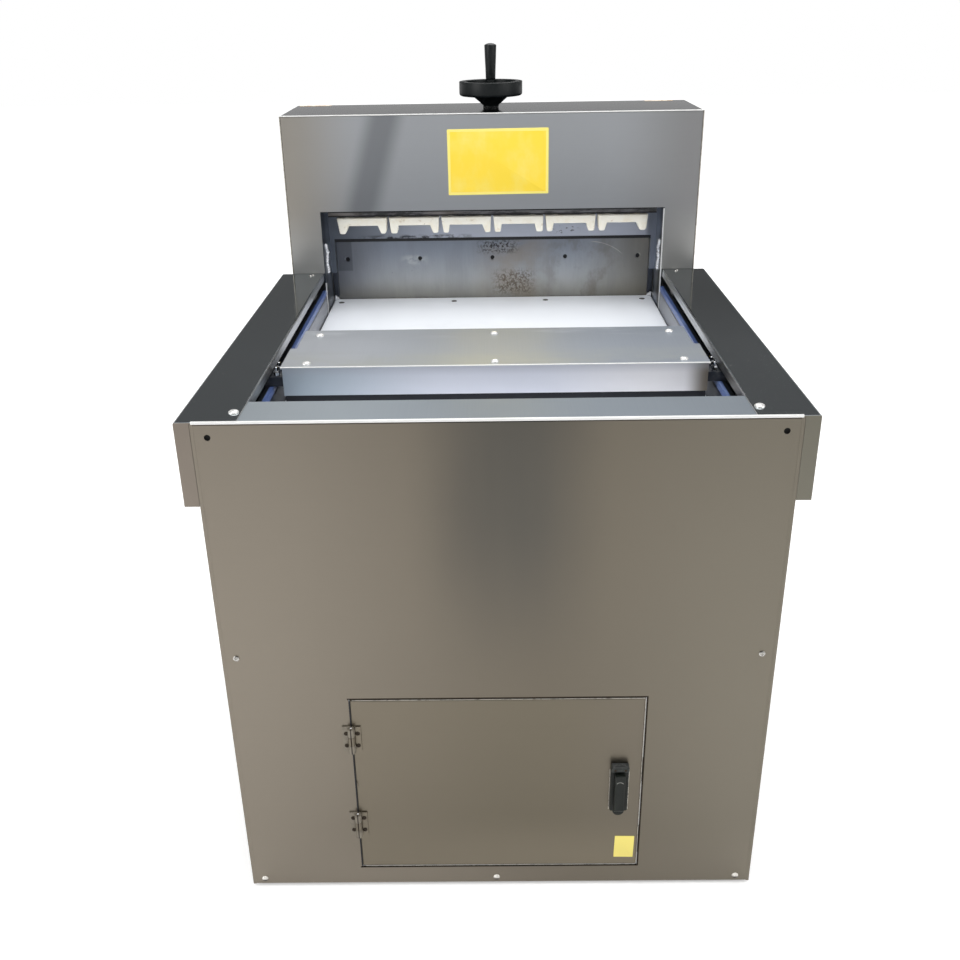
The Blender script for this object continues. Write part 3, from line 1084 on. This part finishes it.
def leaf_outline(hand, base, own_thirds):
    """One leaf: it reaches the pin where its own knuckles are and stops short elsewhere."""
    far = HINGE_X + hand * HINGE_LEAF
    points = [(far, base), (far, base + HINGE_HEIGHT)]
    for third in (2, 1, 0):
        reach = 0.001 if third in own_thirds else HINGE_RADIUS + RUNNING
        points.append((HINGE_X + hand * reach, base + (third + 1) * THIRD - CLEAR * (third < 2)))
        points.append((HINGE_X + hand * reach, base + third * THIRD + CLEAR * (third > 0)))
    return points


def hinge_half(name, hand, base, own_thirds, carrier=None):
    """A leaf welded to its knuckles."""
    leaf = plate(name, [leaf_outline(hand, base, own_thirds)], "XZ",
                 (-CLEAR - HINGE_LEAF_THICKNESS, SHEET / 2 if hand > 0 else -CLEAR), carrier)
    rings = [circle((HINGE_X, HINGE_Y), HINGE_RADIUS, 14)]
    if hand > 0:
        rings.append(circle((HINGE_X, HINGE_Y), HINGE_PIN_RADIUS + CLEAR, 14))
    for third in own_thirds:
        fuse(leaf, plate("knuckle", rings, "XY", (base + third * THIRD + CLEAR,
                                                  base + (third + 1) * THIRD - CLEAR), carrier))
    return leaf


# Each pin is pressed into the outer knuckles; the middle knuckle turns on it
for name, base in (("lower", HINGE_LOW), ("upper", HINGE_HIGH)):
    leaf = hinge_half(name + "_hinge_leaf", -1, base, (0, 2))
    fuse(leaf, rod("pin", (HINGE_X, HINGE_Y, base + HINGE_HEIGHT / 2), HINGE_PIN_RADIUS,
                   HINGE_HEIGHT + 2 * WELD_STEP, "Z", 12))
    finish(leaf, "zinc_steel")
    fuse(door, hinge_half("door_leaf", 1, base, (1,), door_joint))

# Lock: a body with a round nose and a grey cap, a spindle with its cam, and a lift lever
LOCK_RIGHT = LOCK_LEFT + LOCK_WIDTH
LOCK_TOP = LOCK_BOTTOM + LOCK_HEIGHT
CORNER = 0.003
lock_outline = arc((LOCK_X, LOCK_BOTTOM), LOCK_NOSE_RADIUS, 180, 360, 10)
lock_outline += arc((LOCK_RIGHT - CORNER, LOCK_BOTTOM + CORNER), CORNER, -90, 0, 3)
lock_outline += [(LOCK_RIGHT, LOCK_TOP), (LOCK_LEFT, LOCK_TOP)]
lock_outline += arc((LOCK_LEFT + CORNER, LOCK_BOTTOM + CORNER), CORNER, 180, 270, 3)
lock_body = plate("lock_body", [lock_outline, circle((LOCK_X, SPINDLE_Z), SPINDLE_RADIUS + CLEAR, 16)],
                  "XZ", (LOCK_FRONT, -CLEAR), door_joint)
finish(lock_body, "black_plastic")
cap = block("lock_cap", (LOCK_LEFT, LOCK_RIGHT), (LOCK_FRONT - 0.006, -CLEAR),
            (LOCK_TOP + CLEAR, LOCK_TOP + CLEAR + LOCK_CAP_HEIGHT), door_joint)
finish(bend(cap, 0.002, 2), "grey_plastic")
spindle_joint = new_empty("lock_turn", (LOCK_X, 0, SPINDLE_Z), door_joint)
CAM_Y = DOOR_RETURN + RUNNING
spindle = rod("lock_spindle", (LOCK_X, (LOCK_FRONT + CAM_Y + CAM_THICKNESS) / 2, SPINDLE_Z),
              SPINDLE_RADIUS, CAM_Y + CAM_THICKNESS - LOCK_FRONT, "Y", 16, spindle_joint)
cam_outline = arc((LOCK_X, SPINDLE_Z), 0.010, 0, 180, 8)
cam_outline += arc((LOCK_X, SPINDLE_Z - CAM_LENGTH + 0.008), 0.008, 180, 360, 8)
fuse(spindle, plate("cam", [cam_outline], "XZ", (CAM_Y, CAM_Y + CAM_THICKNESS - RUNNING), spindle_joint))
finish(spindle, "zinc_steel")
lever_joint = new_empty("lever_lift", (LOCK_X, LEVER_Y, SPINDLE_Z), spindle_joint)
LEVER_TIP = 0.0065
lever_outline = arc((LEVER_Y, SPINDLE_Z), LEVER_THICKNESS / 2, 180, 360, 8)
lever_outline += [(LEVER_Y + LEVER_THICKNESS / 2, SPINDLE_Z + LEVER_LENGTH - 0.012),
                  (LEVER_Y + LEVER_THICKNESS / 2 - 0.003, SPINDLE_Z + LEVER_LENGTH),
                  (LEVER_Y + LEVER_THICKNESS / 2 - 0.003 - LEVER_TIP, SPINDLE_Z + LEVER_LENGTH),
                  (LEVER_Y - LEVER_THICKNESS / 2 + 0.0015, SPINDLE_Z + LEVER_LENGTH / 2)]
lever = plate("lock_lever", [lever_outline], "YZ", (LOCK_X - LEVER_WIDTH / 2, LOCK_X + LEVER_WIDTH / 2),
              lever_joint)
finish(bend(lever, 0.001, 1), "black_plastic")

# Electrical plate on the frame behind the door, with the inverter, the contactors and their ducts
PLATE_HALF = 0.200
PLATE_BOTTOM = FRAME_BOTTOM + TUBE + CLEAR
PLATE_TOP = 0.400
PLATE_RETURN = 0.012
INVERTER_LEFT = -0.170
INVERTER_WIDTH = 0.110
INVERTER_BOTTOM = 0.130
INVERTER_HEIGHT = 0.180
INVERTER_DEPTH = 0.085
INVERTER_FINS = 8
CONTACTOR_COUNT = 4
CONTACTOR_PITCH = 0.050
CONTACTOR_LEFT = -0.030
CONTACTOR_BOTTOM = 0.220
CONTACTOR_DEPTH = 0.050
CONTACTOR_HEIGHT = 0.075
DUCT_HEIGHT = 0.040
DUCT_BOTTOM = 0.335
DEVICE_GAP = 0.005
TERMINAL_DROP = 0.080
TERMINAL_HEIGHT = 0.045
COIL_INSET = 0.006
COIL_FOOT = 0.018
COIL_REACH = 0.025
electrical_plate = block("electrical_plate", (-PLATE_HALF, PLATE_HALF),
                         (PLATE_SETBACK, PLATE_SETBACK + PLATE_RETURN), (PLATE_BOTTOM, PLATE_TOP),
                         open_sides=("+Y",))
thicken(bend(electrical_plate), SHEET)


def device(x, z, width, height, depth, sink=WELD_STEP):
    """A device on the plate; x and z are its lower left corner."""
    return block("device", (x, x + width), (PLATE_SETBACK - depth, PLATE_SETBACK + sink), (z, z + height))


for step in range(CONTACTOR_COUNT):
    x = CONTACTOR_LEFT + step * CONTACTOR_PITCH
    width = CONTACTOR_PITCH - DEVICE_GAP
    fuse(electrical_plate, device(x, CONTACTOR_BOTTOM, width, CONTACTOR_HEIGHT, CONTACTOR_DEPTH),
         device(x + COIL_INSET, CONTACTOR_BOTTOM + COIL_FOOT, width - 2 * COIL_INSET,
                CONTACTOR_HEIGHT - 2 * COIL_FOOT, CONTACTOR_DEPTH + COIL_REACH))
row_width = CONTACTOR_COUNT * CONTACTOR_PITCH - DEVICE_GAP
fuse(electrical_plate, device(CONTACTOR_LEFT, CONTACTOR_BOTTOM - TERMINAL_DROP, row_width, TERMINAL_HEIGHT,
                              DUCT_HEIGHT),
     device(INVERTER_LEFT, DUCT_BOTTOM, CONTACTOR_LEFT + row_width - INVERTER_LEFT, DUCT_HEIGHT,
            DUCT_HEIGHT))
finish(electrical_plate, "zinc_steel")

# Inverter: a housing with a ribbed heat sink at its left side
inverter_outline = [(INVERTER_LEFT + INVERTER_WIDTH, PLATE_SETBACK - CLEAR),
                    (INVERTER_LEFT + INVERTER_WIDTH, PLATE_SETBACK - INVERTER_DEPTH),
                    (INVERTER_LEFT + 0.010, PLATE_SETBACK - INVERTER_DEPTH)]
fin_pitch = (INVERTER_DEPTH - CLEAR) / (2 * INVERTER_FINS)
for fin in range(INVERTER_FINS):
    y = PLATE_SETBACK - INVERTER_DEPTH + 2 * fin * fin_pitch
    inverter_outline += [(INVERTER_LEFT + 0.010, y + fin_pitch), (INVERTER_LEFT, y + fin_pitch),
                         (INVERTER_LEFT, y + 2 * fin_pitch), (INVERTER_LEFT + 0.010, y + 2 * fin_pitch)]
inverter_outline.pop()
inverter = plate("inverter", [inverter_outline], "XY", (INVERTER_BOTTOM, INVERTER_BOTTOM + INVERTER_HEIGHT))
finish(inverter, "grey_plastic")


def button(name, height, radius, crown, kind):
    """A push button: its cap stands off the rear cover by its travel, its stem goes through it."""
    joint = new_empty(name + "_press", (BUTTON_X, PORTAL_REAR, height), machine)
    base = BUTTON_TRAVEL + RUNNING
    outline = [(0, base + crown), (radius - 0.002, base + crown), (radius, base + crown - 0.002),
               (radius, base), (BUTTON_STEM, base), (BUTTON_STEM, -0.024), (0, -0.024)]
    finish(turned(name, outline, (BUTTON_X, PORTAL_REAR, height), "Y", 18, joint), kind)


# Push buttons on the rear cover
button("start_button", button_heights[2], BUTTON_RADIUS, BUTTON_HEIGHT, "green_plastic")
button("stop_button", button_heights[1], BUTTON_RADIUS, BUTTON_HEIGHT, "black_plastic")
button("emergency_stop", button_heights[0], MUSHROOM_RADIUS, 2 * BUTTON_HEIGHT, "red_plastic")

# Outfeed chute: a folded sheet from behind the blade over the rear panel's edge
SILL = OUTFEED_SILL + CLEAR + SHEET
chute_section = [(BLADE_BACK + CHUTE_START, SILL + CHUTE_RISE), (PORTAL_REAR - PANEL_RETURN - SHEET, SILL),
                 (PORTAL_REAR + 2 * SHEET, SILL), (REAR_REACH, SILL - CHUTE_DROP)]
CHUTE_HALF = OUTFEED_HALF - SHEET
finish(fold("outfeed_chute", chute_section, "YZ", (-CHUTE_HALF, CHUTE_HALF), side=1), "zinc_steel")
